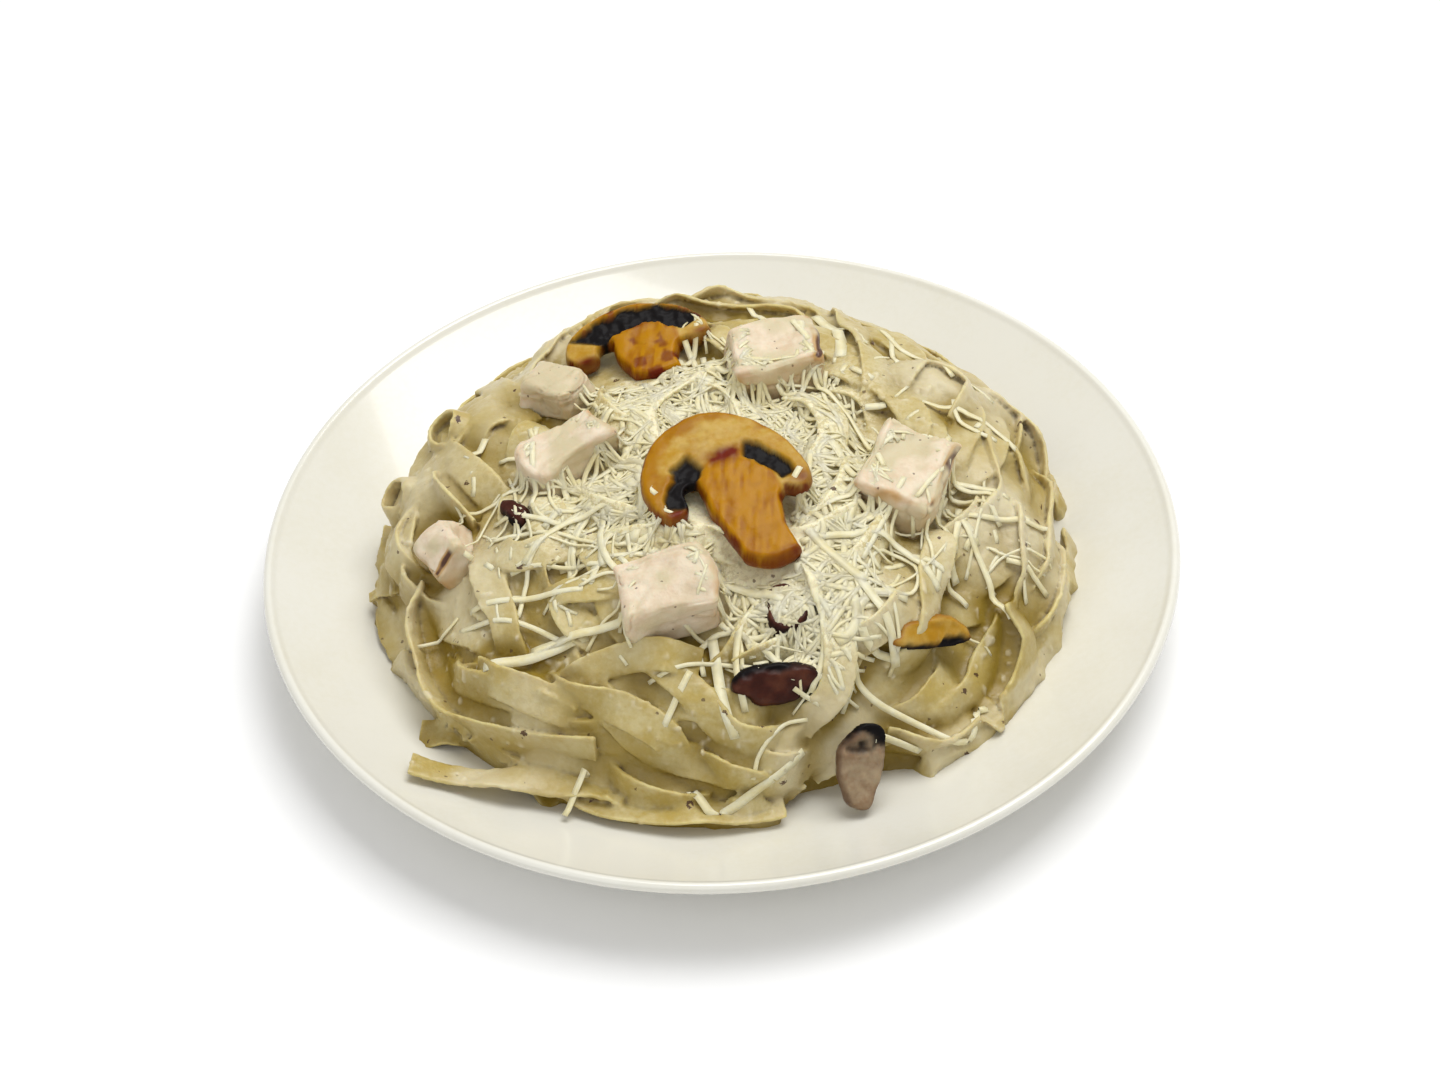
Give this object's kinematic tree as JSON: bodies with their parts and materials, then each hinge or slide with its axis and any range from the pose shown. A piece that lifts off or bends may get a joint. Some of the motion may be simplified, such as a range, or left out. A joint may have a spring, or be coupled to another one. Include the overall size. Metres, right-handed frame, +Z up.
{
  "type": "plate of pasta",
  "caption": "Round white coupe plate with a heap of wide ribbon pasta in pale sauce, topped with diced chicken, fried mushroom slices and shredded cheese.",
  "frame": {"origin": "middle of the plate, on the table", "axes": "+Z up, +X to the right and -Y towards the person who eats"},
  "size_m": [0.26, 0.26, 0.0678],
  "materials": {
    "plate_glaze": "glossy warm white glaze",
    "pasta": "boiled pasta under a satin cream sauce",
    "chicken": "moist fried chicken breast",
    "fried_mushroom": "golden fried mushroom with an oily sheen",
    "dark_mushroom": "dark fried mushroom with an oily sheen"
  },
  "bodies": {
    "root": {"plate": "plate_glaze", "pasta": "pasta", "chicken_front": "chicken", "chicken_right": "chicken", "chicken_left": "chicken", "chicken_back": "chicken", "chicken_back_left": "chicken", "chicken_side_left": "chicken", "mushroom_top": "fried_mushroom", "mushroom_back": "fried_mushroom", "mushroom_front": "dark_mushroom", "mushroom_right": "dark_mushroom", "mushroom_low": "dark_mushroom", "mushroom_mid": "dark_mushroom", "mushroom_left": "dark_mushroom", "mushroom_under": "dark_mushroom"}
  },
  "joints": []
}
